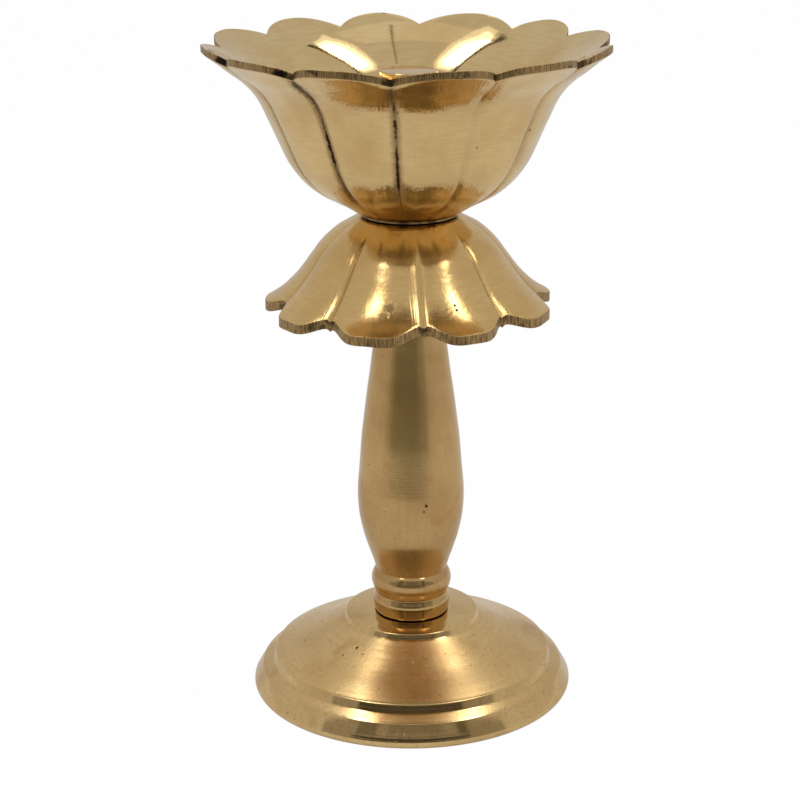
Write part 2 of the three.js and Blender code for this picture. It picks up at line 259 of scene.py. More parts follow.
# %% Turned brass
BRASS = "#E6C68E"
BRASS_DULL = "#D6B47C"
BRASS_STAIN = "#B98355"
# Colour of pits and marks, and also of the painted shade in the gap under the stem's collar.
PIT_AND_COLLAR_SHADE = "#5C3E28"
MOPPED = 0.06
SATIN_FADE = 0.4
FINE_RING = 0.3
BROAD_RING = 1.8
RING_RISE = 1.37
foot_low, foot_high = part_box("foot")
FOOT_HEIGHT = (foot_high.z - foot_low.z) / MM
# Radius and half-height in mm of the painted shade under the stem's collar.
COLLAR_SHADE_RADIUS = 8.5
COLLAR_SHADE_HALF = 0.3


def radius_of(tree, place):
    """Distance from the lamp's axis."""
    flat = add_node(tree, "ShaderNodeVectorMath", {0: place, 1: (1, 1, 0)}, operation="MULTIPLY")
    length = add_node(tree, "ShaderNodeVectorMath", {0: flat.outputs[0]}, operation="LENGTH")
    return length.outputs["Value"]


def rings(tree, place, size_mm):
    """Turning marks: a noise that changes only with radius and height."""
    height = add_node(tree, "ShaderNodeSeparateXYZ", {0: place}).outputs["Z"]
    spread = maths(tree, "ADD", radius_of(tree, place), maths(tree, "MULTIPLY", height, RING_RISE))
    inputs = {"W": spread, "Scale": 1 / (size_mm * MM), "Detail": 2}
    return add_node(tree, "ShaderNodeTexNoise", inputs, noise_dimensions="1D").outputs["Fac"]


def pitted(tree, place, spacing_mm, share):
    """Small round pits, one in a share of the cells of a cell pattern."""
    inputs = {"Vector": place, "Scale": 1 / (spacing_mm * MM)}
    cells = add_node(tree, "ShaderNodeTexVoronoi", inputs).outputs
    chance = add_node(tree, "ShaderNodeSeparateColor", {"Color": cells["Color"]}).outputs
    size = maths(tree, "MULTIPLY", chance["Green"], 0.1)
    pit = between(tree, maths(tree, "SUBTRACT", cells["Distance"], size), 0.06, 0.01)
    return maths(tree, "MULTIPLY", pit, maths(tree, "LESS_THAN", chance["Red"], share))


def spotted(tree, place, spots):
    """Ragged marks, each given by its point in mm, its radius in mm and how dark it is."""
    ragged = maths(tree, "MULTIPLY_ADD", grain(tree, place, 0.5, detail=4), 1.6, 0.2)
    total = None
    for point, radius_mm, share in spots:
        inputs = {0: place, 1: Vector(point) * MM}
        away = add_node(tree, "ShaderNodeVectorMath", inputs, operation="DISTANCE").outputs["Value"]
        outline = maths(tree, "MULTIPLY", away, ragged)
        spot = between(tree, outline, radius_mm * MM, 0.4 * radius_mm * MM, 0, share)
        total = spot if total is None else maths(tree, "MAXIMUM", total, spot)
    return total


def turned_brass(name, colours, satin_zones, ring_depth_mm, pit_share, spots):
    """Brass from the lathe: mopped bright, and satin in (low, high, roughness) zones in mm."""
    bright, dull = colours
    material, tree, shader = new_material(name, metallic=1)
    place = object_place(tree)
    height = add_node(tree, "ShaderNodeSeparateXYZ", {0: place}).outputs["Z"]
    rough = MOPPED
    for low, high, satin in satin_zones:
        middle, half = (low + high) / 2 * MM, (high - low) / 2 * MM
        off_middle = maths(tree, "ABSOLUTE", maths(tree, "SUBTRACT", height, middle))
        duller = between(tree, off_middle, half, half - SATIN_FADE * MM, 0, satin - MOPPED)
        rough = maths(tree, "ADD", rough, duller)
    fine_rings = rings(tree, place, FINE_RING)
    broad_rings = rings(tree, place, BROAD_RING)
    cloud = grain(tree, place, 14, detail=4)
    colour = blend(tree, between(tree, cloud, 0.42, 0.7), bright, dull)
    stain = between(tree, grain(tree, place, 8, detail=6), 0.54, 0.74, 0, 0.55)
    colour = blend(tree, stain, colour, BRASS_STAIN)
    lined = maths(tree, "MULTIPLY", between(tree, fine_rings, 0.35, 0.65), 0.3)
    colour = blend(tree, lined, colour, dull)
    wiped = grain(tree, place, 0.9, stretch=(1, 1, 0.05))
    colour = blend(tree, between(tree, wiped, 0.4, 0.7, 0, 0.35), colour, dull)
    handled = between(tree, grain(tree, place, 0.7, detail=6), 0.5, 0.75, 0, 0.4)
    colour = blend(tree, handled, colour, BRASS_STAIN)
    small_pits = maths(tree, "MULTIPLY", pitted(tree, place, 1.9, pit_share), 0.6)
    pits = maths(tree, "MAXIMUM", small_pits, spotted(tree, place, spots))
    # Painted shade: a thin dark band round the stem just above the foot, in the gap under the
    # collar where shade falls. It is laid in with the pits.
    off_collar_shade = maths(tree, "ABSOLUTE", maths(tree, "SUBTRACT", height, FOOT_HEIGHT * MM))
    collar_shade_band = between(tree, off_collar_shade, (COLLAR_SHADE_HALF + 0.06) * MM, COLLAR_SHADE_HALF * MM)
    under_stem = between(
        tree, radius_of(tree, place), COLLAR_SHADE_RADIUS * MM, (COLLAR_SHADE_RADIUS - 0.1) * MM)
    pits = maths(tree, "MAXIMUM", pits, maths(tree, "MULTIPLY", collar_shade_band, under_stem))
    colour = blend(tree, pits, colour, PIT_AND_COLLAR_SHADE)
    tree.links.new(colour, shader.inputs["Base Color"])
    rough = maths(tree, "ADD", rough, maths(tree, "MULTIPLY", between(tree, cloud, 0.3, 0.7), 0.05))
    rough = maths(tree, "ADD", rough, maths(tree, "MULTIPLY", broad_rings, 0.04))
    rough = maths(tree, "ADD", rough, maths(tree, "MULTIPLY", pits, 0.4))
    tree.links.new(rough, shader.inputs["Roughness"])
    smooth_skin = maths(tree, "SUBTRACT", 1, pits)
    bumped(tree, shader, [
        (fine_rings, ring_depth_mm), (wiped, 0.006), (cloud, 0.03), (smooth_skin, 0.06)])
    return material


FOOT_SPOTS = [((-12.5, -14.9, 14.7), 0.55, 1), ((-24.8, -4.3, 11.8), 0.3, 1),
              ((-15.6, -15.7, 13.3), 0.3, 1)]
STEM_SPOTS = [((3.4, -11.6, 47.7), 0.5, 1), ((2.9, -11.8, 46.4), 0.3, 1),
              ((10.1, -0.1, 68.9), 0.4, 1)]
turned_foot = turned_brass(
    "turned_brass_foot", (BRASS, BRASS_DULL), satin_zones=((5.4, 6.9, 0.19), (8.4, 16.8, 0.22)),
    ring_depth_mm=0.012, pit_share=0.2, spots=FOOT_SPOTS)
turned_stem = turned_brass(
    "turned_brass_stem", ("#CFAD78", "#BF9A66"), satin_zones=((29, 110, 0.17),),
    ring_depth_mm=0.007, pit_share=0.05, spots=STEM_SPOTS)
print("made", turned_foot.name, "with", len(turned_foot.node_tree.nodes), "nodes")

# %% [markdown]
# Foot: a hollow dome with a stepped edge. Its section starts at the screw hole, goes down and out
# under the dome, round the edge that touches the table, and back over the top.

# %% Foot
FOOT_STEPS = 240
BOSS_RADIUS = 10
BOSS_FOOT = 9.5
# Centres of the rounded corners, and their radii in mm.
FOOT_RIM, RIM_ROUND = at(35.35, 1.5), 1.5
BAND_TOP, BAND_ROUND = at(34.55, 5.2), 0.32
STEP_TOP, STEP_ROUND = at(31.5, 8.35), 0.35
PAD_TOP, PAD_ROUND = at(14.98, 17.75), 0.25
LEDGE = [at(32.63, 6.72), at(32.46, 6.8), at(31.86, 8.39)]
DOME = [at(15.6, 16.8), at(18.1, 15.4), at(23.5, 12.55), at(28.85, 10.15), at(31.8, 8.8)]
HOLLOW = [at(29.2, 3.4), at(28.4, 6.6), at(23.5, 9.1), at(18.1, 11.95), at(12.2, 14.1),
          at(BOSS_RADIUS, 13.9)]


def foot_section():
    rim = arc(FOOT_RIM, RIM_ROUND * MM, -90, 20, 10)
    band = arc(BAND_TOP, BAND_ROUND * MM, 25, 65, 3)
    step = LEDGE + arc(STEP_TOP, STEP_ROUND * MM, 20, 75, 3)
    dome = flowing(DOME[::-1], 10)[1:]
    pad = arc(PAD_TOP, PAD_ROUND * MM, 10, 80, 3)
    hole = [at(CLEAR_HOLE, FOOT_HEIGHT), at(CLEAR_HOLE, BOSS_FOOT), at(BOSS_RADIUS, BOSS_FOOT)]
    hollow = flowing(HOLLOW[::-1], 6) + [at(33.2, 0.25), at(33.45, 0)]
    return hole + hollow + rim + band + step + dome + pad + hole[:1]


foot = spun("turned_foot", foot_section(), FOOT_STEPS, turned_foot)
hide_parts("foot")
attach(foot, "stand")

# %% [markdown]
# Stem: a collar of two rings, a sharp crease, and a pear that swells and then draws in to the
# neck. The neck flares into a seat under the skirt.

# %% Stem
stem_low, stem_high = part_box("stem")
STEM_FOOT, STEM_TOP = stem_low.z / MM, stem_high.z / MM
STEM_STEPS = 160
COLLAR = [at(8.46, 18.42), at(8.63, 19.3), at(8.85, 20.7), at(8.82, 21.6), at(8.42, 22.6),
          at(8.35, 23), at(8.55, 23.7), at(8.98, 24.8), at(9.17, 25.9), at(9.02, 27.1),
          at(8.5, 28.2), at(8.1, 28.7)]
PEAR = [at(8.1, 28.7), at(8.76, 30.96), at(9.45, 32.95), at(10.11, 34.9), at(10.74, 36.9),
        at(11.22, 38.9), at(11.64, 40.9), at(11.91, 42.8), at(12.07, 44.8), at(12.13, 46.75),
        at(12.09, 48.7), at(11.94, 50.65), at(11.6, 54.5), at(11.14, 60.3), at(10.69, 64.1),
        at(10.2, 68), at(9.71, 71.75), at(9.14, 75.6), at(8.65, 79.4), at(8.2, 83.2), at(7.75, 89),
        at(7.5, 96), at(7.6, 101)]
STEM_RELIEF = 7.7
SEAT_FOOT = 105.5
SEAT_RADIUS = 8.7
SEAT_ROUND = 0.3
SCREW_HOLE_END = 32
STUD_HOLE_END = 96.2


def stem_section():
    seat = (arc(at(SEAT_RADIUS, SEAT_FOOT), SEAT_ROUND * MM, -80, 0, 3)
            + arc(at(SEAT_RADIUS, STEM_TOP - SEAT_ROUND), SEAT_ROUND * MM, 0, 80, 3))
    screw_hole = [at(0, SCREW_HOLE_END), at(THREAD_HOLE, SCREW_HOLE_END),
                  at(THREAD_HOLE, STEM_FOOT)]
    stud_hole = [at(THREAD_HOLE, STEM_TOP), at(THREAD_HOLE, STUD_HOLE_END), at(0, STUD_HOLE_END)]
    relief = [at(STEM_RELIEF, STEM_FOOT), at(STEM_RELIEF, 18.24), at(8.35, 18.3)]
    turned = relief + flowing(COLLAR, 5) + flowing(PEAR, 5)[1:]
    return screw_hole + turned + seat + stud_hole


stem = spun("turned_stem", stem_section(), STEM_STEPS, turned_stem)
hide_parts("stem")
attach(stem, "stand")

# %% [markdown]
# Petals: a bowl or a skirt of petals is a ring whose section changes as it goes round. A flat
# grid is the start. Its columns become directions round the axis and its rows become points of
# the section there. How far a column is from its petal's middle, from 0 to 1, sets its section.


# %% Petal rings
GRIME_FROM = 17
GRIME_FULL = 25
EDGE_BREAK = 0.12


def wrapped(name, section_at, notches, steps, valley_grime, materials):
    """Wraps a grid into a petal ring.

    A section is a list of (material number, points, open to grime) groups. Each vertex also keeps
    its distance to the nearest valley in mm, and how much grime that valley has.
    """
    petals = len(notches)
    groups = section_at(0, 0, 0)
    finishes = [number for number, points, open_to_grime in groups for point in points]
    grimy = [open_to_grime for number, points, open_to_grime in groups for point in points]
    rows = len(finishes)
    bm = bmesh.new()
    valley_layer = bm.verts.layers.float.new("valley")
    grime_layer = bm.verts.layers.float.new("grime")
    bmesh.ops.create_grid(bm, x_segments=petals * steps, y_segments=rows, size=1)
    grid = sorted(bm.verts, key=lambda vert: (round(vert.co.x, 6), vert.co.y))
    order = {vert: number for number, vert in enumerate(grid)}
    for face in bm.faces:
        face.material_index = finishes[min(order[vert] % (rows + 1) for vert in face.verts)]
    for column in range(petals * steps + 1):
        petal, step = divmod(column % (petals * steps), steps)
        start, end = notches[petal], notches[(petal + 1) % petals]
        if end < start:
            end += math.tau
        direction = mixed(start, end, step / steps)
        share = abs(1 - 2 * step / steps)
        nearest = petal if step < steps / 2 else (petal + 1) % petals
        valley_angle = (1 - share) * (end - start) / 2
        groups = section_at(share, direction, nearest)
        section = [point for number, points, open_to_grime in groups for point in points]
        for row, vert in enumerate(grid[column * (rows + 1):(column + 1) * (rows + 1)]):
            point = section[row % rows]
            vert.co = (point.x * math.sin(direction), -point.x * math.cos(direction), point.y)
            vert[valley_layer] = valley_angle * point.x / MM
            worn = eased(point.x / MM, GRIME_FROM, GRIME_FULL)
            vert[grime_layer] = valley_grime[nearest] * worn if grimy[row % rows] else 0
    return finished(name, bm, materials)


def height_on(line, radius):
    """Height of a rising or falling line at a radius."""
    for start, end in zip(line, line[1:]):
        if start.x <= radius <= end.x and end.x > start.x:
            return start.y + (radius - start.x) / (end.x - start.x) * (end.y - start.y)
    return line[-1].y if radius > line[-1].x else line[0].y


def mixed(first, second, share):
    return first + (second - first) * share


def eased(value, low, high):
    share = min(max((value - low) / (high - low), 0), 1)
    return share * share * (3 - 2 * share)


def sawn_edge(foot, top):
    """The sawn face of a rim, from its foot up, with both corners broken."""
    return [foot + at(0, EDGE_BREAK), mixed(foot, top, 0.5), top - at(0, EDGE_BREAK)]


# %% [markdown]
# Cast brass: petals are cast in sand, buffed on the faces, and left rough and dark in the valleys
# where the mop can't reach. The mesh keeps each point's distance to the nearest valley, and the
# material lays a brown haze, a thin broken black seam and the strokes of a file along it.


# %% Cast brass
SEAM = "#33241A"
HAZE = "#6E4F34"
BURNT = "#2E231D"
# Stains and casting marks: the point in mm, the radius in mm, and how dark it is.
SKIRT_SPOTS = [((-4.1, -25.6, 97.5), 1.5, 0.5), ((-5.2, -26.6, 96.3), 1.2, 0.4),
               ((9.5, -24, 97.6), 0.3, 1), ((9.9, -24.8, 96.8), 0.35, 1)]
CAST_SPOTS = [((-22.2, -33.3, 144.9), 2.2, 0.6), ((-21.2, -31.8, 143.6), 1.9, 0.6),
              ((-20.2, -30.3, 142.2), 1.5, 0.5), ((-2.6, -39.4, 144.2), 1.2, 0.5)]
RIM_SPOTS = [((-25.6, -34.4, 147.6), 2.3, 1), ((-38.6, -17, 148), 2.4, 1),
             ((-4, -40.6, 146.6), 2.3, 0.9), ((18.6, -36.6, 146.9), 1.2, 0.8),
             ((35.5, -21.5, 148), 1.2, 0.8)]


def attribute(tree, name):
    return add_node(tree, "ShaderNodeAttribute", attribute_name=name).outputs["Fac"]


def file_strokes(tree, place, valley):
    """Strokes of a file that cleaned out a valley, along it and within a few millimetres."""
    axes = add_node(tree, "ShaderNodeSeparateXYZ", {0: place}).outputs
    along = {0: maths(tree, "MULTIPLY", valley, MM), 1: axes["X"], 2: axes["Z"]}
    beside = add_node(tree, "ShaderNodeCombineXYZ", along).outputs[0]
    filed = grain(tree, beside, 0.5, stretch=(1, 0.05, 0.04))
    return maths(tree, "MULTIPLY", filed, between(tree, valley, 4.5, 1.5))


def cast_brass(name, colours, seam_mm, rough_base, wave_mm, brush_mm, pit_share, spots=()):
    """Cast and buffed brass, with a seam of a half-width in mm, and waves and brush marks in mm."""
    bright, dull = colours
    material, tree, shader = new_material(name, metallic=1)
    place = object_place(tree)
    valley = attribute(tree, "valley")
    grime = attribute(tree, "grime")
    cloud = grain(tree, place, 11, detail=4)
    streaks = grain(tree, place, 0.7, detail=3, stretch=(1, 1, 0.08))
    scratches = grain(tree, place, 0.35, detail=2, stretch=(0.08, 0.08, 1))
    colour = blend(tree, between(tree, cloud, 0.4, 0.72), bright, dull)
    brushed = maths(tree, "MULTIPLY", between(tree, scratches, 0.35, 0.7), 0.5)
    colour = blend(tree, brushed, colour, dull)
    lighter = maths(tree, "MULTIPLY", between(tree, streaks, 0.45, 0.75), 0.3)
    colour = blend(tree, lighter, colour, bright)
    ragged = grain(tree, place, 0.22, detail=6, stretch=(0.35, 0.35, 1))
    aside = maths(tree, "MULTIPLY_ADD", ragged, 4 * seam_mm, -2 * seam_mm)
    away = maths(tree, "ADD", valley, aside)
    near = between(tree, away, 4.5 * seam_mm, 0.2 * seam_mm, 0, 0.8)
    haze = maths(tree, "MULTIPLY", near, grime)
    colour = blend(tree, haze, colour, HAZE)
    broken = between(tree, grain(tree, place, 5, detail=2), 0.42, 0.66)
    width = maths(tree, "MULTIPLY", broken, seam_mm)
    core = between(tree, maths(tree, "SUBTRACT", away, width), 0.06, -0.18)
    core = maths(tree, "MULTIPLY", core, between(tree, grime, 0.3, 0.9))
    pits = maths(tree, "MULTIPLY", pitted(tree, place, 2.3, pit_share), 0.7)
    dirt = maths(tree, "MAXIMUM", core, pits)
    if spots:
        dirt = maths(tree, "MAXIMUM", dirt, spotted(tree, place, spots))
    colour = blend(tree, dirt, colour, SEAM)
    tree.links.new(colour, shader.inputs["Base Color"])
    rough = maths(tree, "ADD", maths(tree, "MULTIPLY", cloud, 0.07), rough_base)
    rough = maths(tree, "ADD", rough, maths(tree, "MULTIPLY", haze, 0.3))
    rough = maths(tree, "ADD", rough, maths(tree, "MULTIPLY", dirt, 0.3))
    tree.links.new(rough, shader.inputs["Roughness"])
    strokes = file_strokes(tree, place, valley)
    bumped(tree, shader, [
        (cloud, wave_mm), (streaks, brush_mm), (strokes, 3 * brush_mm),
        (scratches, 0.15 * brush_mm), (maths(tree, "SUBTRACT", 1, dirt), 0.1)])
    return material


def sawn_brass():
    material, tree, shader = new_material("sawn_brass", metallic=1)
    place = object_place(tree)
    teeth = grain(tree, place, 0.28, detail=3, stretch=(1, 1, 0.1))
    cloud = grain(tree, place, 4, detail=4)
    colour = ramp(tree, teeth, [(0.32, "#6E563A"), (0.48, "#A3855B"), (0.7, "#C4A673")])
    near_notch = between(tree, attribute(tree, "valley"), 2.4, 0.2, 0, 0.13)
    patches = maths(tree, "ADD", cloud, near_notch)
    burnt = between(tree, patches, 0.6, 0.68, 0, 0.7)
    burnt = maths(tree, "MAXIMUM", burnt, spotted(tree, place, RIM_SPOTS))
    colour = blend(tree, burnt, colour, BURNT)
    tree.links.new(colour, shader.inputs["Base Color"])
    shader.inputs["Roughness"].default_value = 0.4
    bumped(tree, shader, [(teeth, 0.1)])
    return material


def bowl_gap_shade_paint():
    """Painted shade: a near-black finish on the bowl's bore and foot, which darkens the narrow gap
    between the bowl and the skirt.
    """
    material, tree, shader = new_material("painted_bowl_gap_shade")
    colour = ramp(tree, grain(tree, object_place(tree), 1.5), [(0.35, "#1E1410"), (0.7, "#3A2A1E")])
    tree.links.new(colour, shader.inputs["Base Color"])
    shader.inputs["Roughness"].default_value = 0.8
    return material


def notch_directions(petals, first, shifts):
    """Directions of the notches, each a few degrees off its even place, as sawn by hand."""
    return [math.radians(first + 360 * number / petals + shift)
            for number, shift in enumerate(shifts)]


cast = cast_brass(
    "cast_brass", ("#E4C58E", "#D5B37C"),
    seam_mm=0.36, rough_base=0.12, wave_mm=0.1, brush_mm=0.055, pit_share=0.03, spots=CAST_SPOTS)
lining = cast_brass(
    "polished_lining", ("#EBD09B", "#DDBD86"),
    seam_mm=0.01, rough_base=0.03, wave_mm=0.015, brush_mm=0.002, pit_share=0.01)
polished = cast_brass(
    "polished_brass", ("#E8C68A", "#DAB476"),
    seam_mm=0.3, rough_base=0.15, wave_mm=0.06, brush_mm=0.028, pit_share=0.03, spots=SKIRT_SPOTS)
skin = cast_brass(
    "as_cast_skin", ("#E2C08A", "#D2AE78"),
    seam_mm=0.4, rough_base=0.42, wave_mm=0.2, brush_mm=0.03, pit_share=0.2)
sawn = sawn_brass()
bowl_gap_shade = bowl_gap_shade_paint()
print("made", cast.name, lining.name, polished.name, skin.name, sawn.name, bowl_gap_shade.name)

# %% [markdown]
# Bowl: the outer line and the lining both flare to the rim. In a notch the rim is sawn back, so
# the section is the same line cut shorter. Outside, each petal bulges and drops into a valley.

# %% Bowl
BOWL_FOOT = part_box("bowl")[0].z / MM
BOWL_TIP_RADIUS = 44.3
BOWL_NOTCH_DEPTHS = (3.6, 2.7, 3.2, 3.8, 4.1, 4.1, 4.1, 4.1, 4.1, 3.8, 3.5, 3.0)
BOWL_NOTCH_CURVES = (2, 4.5, 3, 2.4, 2, 2, 2, 2, 2, 2.4, 3, 4)
BOWL_EDGE = 1.5
BOWL_VALLEY = 1.1
BOWL_VALLEY_SPAN = (10.75, 20)
BOWL_FRONT_DROP = 0.2
BEND_RADIUS = 33
BOWL_WOBBLE = 0.12
BOWL_NOTCHES = notch_directions(12, -3.7, (-1.2, -1.9, 0, 1, 1.9, -2.4, 0, -3.3, -3.9, -1, 0, 0))
BOWL_GRIME = (0.8, 0.1, 0.25, 0.4, 0.3, 0.2, 0.5, 0.2, 0.4, 0.3, 0.5, 1)
# Material numbers of the petal rings. The fourth is used by the bowl only, and is the painted shade
# of the gap under it.
CAST, SAWN, LINING, BOWL_GAP_SHADE = range(4)
BOWL_FLOOR = BOWL_FOOT + 3.4
BOWL_BORE = [at(CLEAR_HOLE, BOWL_FLOOR), at(CLEAR_HOLE, BOWL_FOOT), at(9.6, BOWL_FOOT),
             at(9.7, BOWL_FOOT + 0.35)]
BOWL_LIP = [at(10.5, BOWL_FOOT + 0.3), at(10.68, BOWL_FOOT + 0.36), at(10.72, BOWL_FOOT + 0.72)]
BOWL_OUTER = [at(10.75, 112.2), at(14.5, 114.5), at(19.25, 117), at(23, 120), at(26.1, 124),
              at(28, 128), at(29.3, 131), at(30.65, 134), at(32.2, 137.4), at(34, 140.1),
              at(36.5, 142.6), at(39.2, 144.6), at(41.8, 146.7), at(BOWL_TIP_RADIUS, 148.5)]
BOWL_LINING = [at(9, 115), at(13.7, 116.4), at(17.9, 118.7), at(21.5, 121.6), at(24.3, 125.1),
               at(26.1, 128.8), at(27.4, 131.8), at(28.7, 134.9), at(30.2, 138.2), at(32.3, 141.4),
               at(35.1, 144.3), at(38, 146.4), at(40.8, 148.1), at(BOWL_TIP_RADIUS, 150)]
outer_line = flowing(BOWL_OUTER, 8)
lining_line = flowing(BOWL_LINING, 8)
BOWL_PETAL_STEPS = 40
OUTER_ROWS = 60
LINING_ROWS = 56


def bowl_section(share, direction, notch):
    """The bowl's closed section at a share of the way from a petal's middle to its notch."""
    wobble = BOWL_WOBBLE * noise.noise((math.sin(direction) * 9, math.cos(direction) * 9, 0.5))
    facing = eased(math.cos(direction), 0.2, 0.9)
    cut = BOWL_NOTCH_DEPTHS[notch] * share ** BOWL_NOTCH_CURVES[notch]
    rim = (BOWL_TIP_RADIUS - cut + wobble) * MM
    # Most of a valley's depth comes close to the notch, so that the petal bulges.
    lobe = 0.3 * share ** 2 + 0.7 * share ** 8

    def bent(line, radius):
        """Height of a line, with the front petals bent down a little at the rim."""
        outward = eased(radius / MM, BEND_RADIUS, BOWL_TIP_RADIUS)
        return height_on(line, radius) - BOWL_FRONT_DROP * facing * outward * MM

    outside = []
    for row in range(OUTER_ROWS + 1):
        along = row / OUTER_ROWS
        radius = mixed(outer_line[0].x, rim, along)
        shallower = 1 - 0.6 * eased(along, 0.75, 1)
        depth = BOWL_VALLEY * eased(radius / MM, *BOWL_VALLEY_SPAN) * shallower
        outside.append(Vector((radius, bent(outer_line, radius) + lobe * depth * MM)))
    inside = []
    for row in range(LINING_ROWS + 1):
        radius = mixed(rim, lining_line[0].x, row / LINING_ROWS)
        inside.append(Vector((radius, bent(lining_line, radius))))
    edge_top = inside[0]
    edge_foot = Vector((rim, edge_top.y - BOWL_EDGE * MM))
    outside[-1] = edge_foot + at(-0.15, -0.06)
    edge = outside[-1:] + sawn_edge(edge_foot, edge_top)
    inside[0] = edge_top + at(-0.15, -0.04)
    # The bore and the underside of the foot carry the painted shade of the gap under the bowl.
    return [(BOWL_GAP_SHADE, BOWL_BORE, False), (SAWN, BOWL_LIP, False), (CAST, outside[1:-1], True),
            (SAWN, edge, False), (LINING, inside, False)]


bowl = wrapped("petal_bowl", bowl_section, BOWL_NOTCHES, BOWL_PETAL_STEPS, BOWL_GRIME,
               [cast, sawn, lining, bowl_gap_shade])
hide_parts("bowl")
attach(bowl, "bowl_unit")

# %% [markdown]
# Skirt: a flat crown under the bowl, and petals that droop and flare out again. The notches are
# rounded, and a narrow groove runs up from each of them.

# %% Skirt
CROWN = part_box("petal_skirt")[1].z / MM
SKIRT_TIP_RADIUS = 32.2
SKIRT_NOTCH_RADIUS = 28.2
SKIRT_EDGE = 2.1
SKIRT_VALLEY = 1.7
SKIRT_VALLEY_SPAN = (11.2, 21)
SKIRT_WALL = 1.7
SKIRT_WOBBLE = 0.1
SKIRT_NOTCHES = notch_directions(9, 6, (0, -1.6, 0, 1, -1, 0, 1, 0, -3))
SKIRT_GRIME = (0.2, 0.25, 0.2, 0.3, 0.25, 0.3, 0.25, 0.2, 0.3)
SKIRT_LINE = [at(11.2, 111.6), at(13.42, 110.5), at(16.22, 108.9), at(19.39, 106), at(21.66, 103),
              at(23.83, 100), at(25.47, 98), at(27.43, 96), at(29.2, 94.5), at(31.3, 93.1),
              at(32.6, 92.5)]
skirt_line = flowing(SKIRT_LINE, 8)
SKIRT_PETAL_STEPS = 48
SKIRT_ROWS = 50


def skirt_section(share, direction, notch):
    """The skirt's closed section, as in bowl_section. Its notches are all alike."""
    wobble = SKIRT_WOBBLE * noise.noise((math.sin(direction) * 7, math.cos(direction) * 7, 3.5))
    cut = ((1 - math.cos(math.pi * share)) / 2) ** 2
    rim = (mixed(SKIRT_TIP_RADIUS, SKIRT_NOTCH_RADIUS, cut) + wobble) * MM
    # A broad hollow, a sharper valley in it, and the narrow groove at its bottom.
    groove = 0.72 * share ** 2 + 0.16 * share ** 12 + 0.12 * eased(share, 0.92, 0.98)
    above = []
    below = []
    for row in range(SKIRT_ROWS + 1):
        along = row / SKIRT_ROWS
        radius = mixed(skirt_line[0].x, rim, along)
        depth = SKIRT_VALLEY * eased(radius / MM, *SKIRT_VALLEY_SPAN) * groove * MM
        height = height_on(skirt_line, radius)
        above.append(Vector((radius, height - depth)))
        slope = (height_on(skirt_line, radius + MM) - height_on(skirt_line, radius - MM)) / (2 * MM)
        wall = SKIRT_WALL * math.hypot(1, slope) * MM
        below.append(Vector((radius, min(height - depth - wall, STEM_TOP * MM))))
    edge_top = above[-1]
    edge_foot = edge_top - at(0, SKIRT_EDGE)
    above[-1] = edge_top + at(-0.15, 0.04)
    below[-1] = edge_foot + at(-0.12, 0)
    edge = above[-1:] + sawn_edge(edge_foot, edge_top)[::-1]
    crown = [at(CLEAR_HOLE, STEM_TOP), at(CLEAR_HOLE, CROWN)]
    return [(CAST, crown, False), (CAST, above[:-1], True), (SAWN, edge, False),
            (LINING, below[::-1] + [at(9.5, STEM_TOP)], False)]


skirt = wrapped("petal_skirt_cast", skirt_section, SKIRT_NOTCHES, SKIRT_PETAL_STEPS, SKIRT_GRIME,
                [polished, sawn, skin])
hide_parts("petal_skirt")
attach(skirt, "stand")

# %% [markdown]
# Wick post: a small turned post that clamps the seal to the bowl's floor. Its head is flat and
# faced off on the lathe.

# %% Wick post
post_low, post_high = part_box("wick_post")
POST_FOOT = post_low.z / MM
POST_TOP = post_high.z / MM
POST_STEPS = 96
POST_FLANGE_RADIUS = 8
POST_FLANGE_HEIGHT = 2.4
POST_HEAD_RADIUS = 6.2
POST_CHAMFER = 0.35
POST_HOLE_END = 126
POST_WAIST = [at(POST_HEAD_RADIUS, 129.7), at(5.5, 132.2), at(5.1, 134.8), at(5.4, 138),
              at(POST_HEAD_RADIUS, 141.1)]


def post_section():
    flange_top = POST_FOOT + POST_FLANGE_HEIGHT
    narrow = POST_FLANGE_RADIUS - POST_CHAMFER
    flange = [at(narrow, POST_FOOT), at(POST_FLANGE_RADIUS, POST_FOOT + POST_CHAMFER),
              at(POST_FLANGE_RADIUS, flange_top - POST_CHAMFER), at(narrow, flange_top)]
    waist = [at(POST_HEAD_RADIUS, flange_top)] + flowing(POST_WAIST, 6)
    corner = at(POST_HEAD_RADIUS - POST_CHAMFER, POST_TOP - POST_CHAMFER)
    head = arc(corner, POST_CHAMFER * MM, 0, 90, 4)
    hole = [at(0, POST_HOLE_END), at(THREAD_HOLE, POST_HOLE_END), at(THREAD_HOLE, POST_FOOT)]
    return hole + flange + waist + head + [at(0, POST_TOP)]


post = spun("turned_post", post_section(), POST_STEPS, turned_foot)
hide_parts("wick_post")
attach(post, "bowl_unit")

# %% [markdown]
# Fixings: the screw, its washer and the stud are zinc-plated steel, and the seal is pressed
# fibre. The stud gets a real M8 thread, because it shows when the bowl is unscrewed. The shapes
# of the others are right in the frame, so they only get a finish.


# %% Fixings
def plated_steel():
    material, tree, shader = new_material("zinc_plated_steel", metallic=1)
    place = object_place(tree)
    cloud = grain(tree, place, 2.5, detail=4)
    colour = ramp(tree, cloud, [(0.35, "#8F9294"), (0.65, "#B4B6B4")])
    tree.links.new(colour, shader.inputs["Base Color"])
    tree.links.new(between(tree, cloud, 0.3, 0.7, 0.28, 0.45), shader.inputs["Roughness"])
    bumped(tree, shader, [(grain(tree, place, 0.4), 0.01)])
    return material


